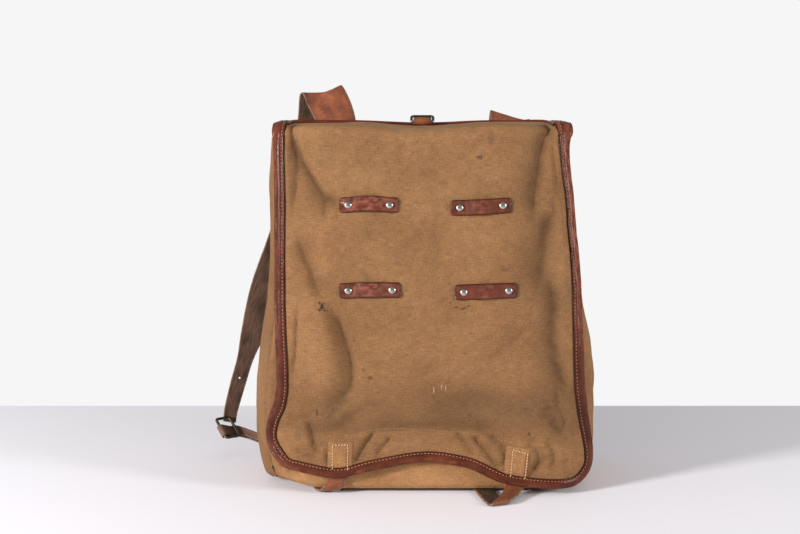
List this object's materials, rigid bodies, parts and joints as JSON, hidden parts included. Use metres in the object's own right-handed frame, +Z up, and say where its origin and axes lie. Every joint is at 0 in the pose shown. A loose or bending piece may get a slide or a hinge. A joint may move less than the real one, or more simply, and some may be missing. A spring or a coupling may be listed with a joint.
{
  "type": "rucksack",
  "caption": "Hollow canvas rucksack with a large leather-bound front flap, riveted leather keepers, tapered leather shoulder straps with wire buckles and a top ring.",
  "frame": {"origin": "middle of the flat base, on the ground", "axes": "+Z up, the flap's front faces -Y, the shoulder straps are on +Y, +X to the right in the front view"},
  "size_m": [0.4136, 0.2206, 0.4124],
  "materials": {
    "canvas": "worn brown cotton canvas, matte",
    "binding_leather": "polished red-brown binding leather",
    "strap_leather": "brown strap leather with a rough flesh side",
    "keeper_leather": "worn red-brown leather with dark edges",
    "rivet_steel": "polished domed heads",
    "dark_steel": "dark tarnished wire"
  },
  "bodies": {
    "root": {"front_panel": "canvas", "back_panel": "canvas", "side_gusset_left": "canvas", "side_gusset_right": "canvas", "base_panel": "canvas", "flap": "canvas", "closure_patch_left": "canvas", "closure_patch_right": "canvas", "flap_binding": "binding_leather", "back_piping": "binding_leather", "keeper_upper_left": "keeper_leather", "keeper_upper_right": "keeper_leather", "keeper_lower_left": "keeper_leather", "keeper_lower_right": "keeper_leather", "rivet_upper_left_a": "rivet_steel", "rivet_upper_left_b": "rivet_steel", "rivet_upper_right_a": "rivet_steel", "rivet_upper_right_b": "rivet_steel", "rivet_lower_left_a": "rivet_steel", "rivet_lower_left_b": "rivet_steel", "rivet_lower_right_a": "rivet_steel", "rivet_lower_right_b": "rivet_steel", "closure_strap_left": "strap_leather", "closure_strap_right": "strap_leather", "shoulder_strap_left": "strap_leather", "shoulder_strap_right": "strap_leather", "lower_strap_left": "strap_leather", "lower_strap_right": "strap_leather", "ring_tab": "strap_leather", "strap_buckle_left": "dark_steel", "strap_buckle_right": "dark_steel", "top_ring": "dark_steel"}
  },
  "joints": []
}
